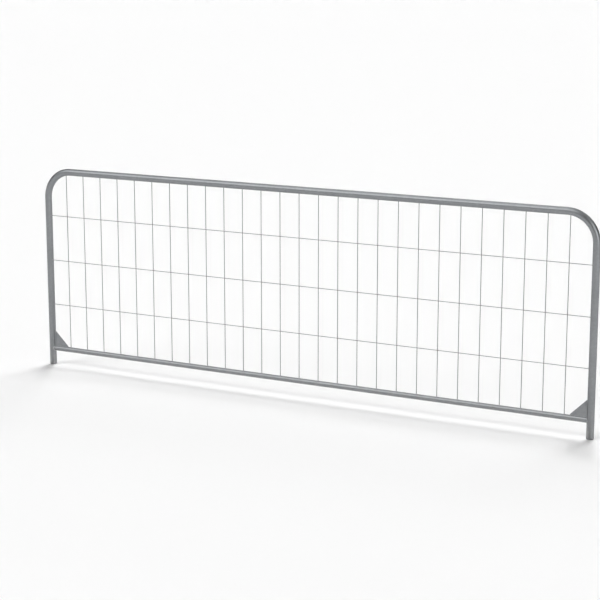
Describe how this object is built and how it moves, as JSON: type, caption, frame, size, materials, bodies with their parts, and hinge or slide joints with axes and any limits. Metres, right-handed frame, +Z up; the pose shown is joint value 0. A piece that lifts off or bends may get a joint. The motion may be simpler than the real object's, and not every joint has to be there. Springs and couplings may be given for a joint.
{
  "type": "temporary fence panel",
  "caption": "Low welded site fence panel: a round-cornered steel tube frame on legs, with a bottom rail, corner gussets and an open wire mesh.",
  "frame": {"origin": "on the ground, midway between the legs, on the panel's middle plane", "axes": "+X along the panel to the right seen from the front, +Y through the panel to its back, +Z up"},
  "size_m": [3.436, 0.0398, 1.2],
  "materials": {
    "galvanised_tube": "satin galvanised",
    "galvanised_plate": "satin galvanised",
    "galvanised_wire": "satin galvanised drawn wire",
    "weld_bead": "matt zinc-coated weld"
  },
  "bodies": {
    "root": {"left_post": "galvanised_tube", "right_post": "galvanised_tube", "top_tube": "galvanised_tube", "bottom_rail": "galvanised_tube", "left_gusset": "galvanised_plate", "right_gusset": "galvanised_plate", "upright_wire_01": "galvanised_wire", "upright_wire_02": "galvanised_wire", "upright_wire_03": "galvanised_wire", "upright_wire_04": "galvanised_wire", "upright_wire_05": "galvanised_wire", "upright_wire_06": "galvanised_wire", "upright_wire_07": "galvanised_wire", "upright_wire_08": "galvanised_wire", "upright_wire_09": "galvanised_wire", "upright_wire_10": "galvanised_wire", "upright_wire_11": "galvanised_wire", "upright_wire_12": "galvanised_wire", "upright_wire_13": "galvanised_wire", "upright_wire_14": "galvanised_wire", "upright_wire_15": "galvanised_wire", "upright_wire_16": "galvanised_wire", "upright_wire_17": "galvanised_wire", "upright_wire_18": "galvanised_wire", "upright_wire_19": "galvanised_wire", "upright_wire_20": "galvanised_wire", "upright_wire_21": "galvanised_wire", "upright_wire_22": "galvanised_wire", "upright_wire_23": "galvanised_wire", "upright_wire_24": "galvanised_wire", "upright_wire_25": "galvanised_wire", "upright_wire_26": "galvanised_wire", "upright_wire_27": "galvanised_wire", "level_wire_1": "galvanised_wire", "level_wire_2": "galvanised_wire", "level_wire_3": "galvanised_wire", "left_rail_weld": "weld_bead", "right_rail_weld": "weld_bead", "left_gusset_welds": "weld_bead", "right_gusset_welds": "weld_bead", "top_wire_welds": "weld_bead", "rail_wire_welds": "weld_bead", "post_wire_welds": "weld_bead"}
  },
  "joints": []
}
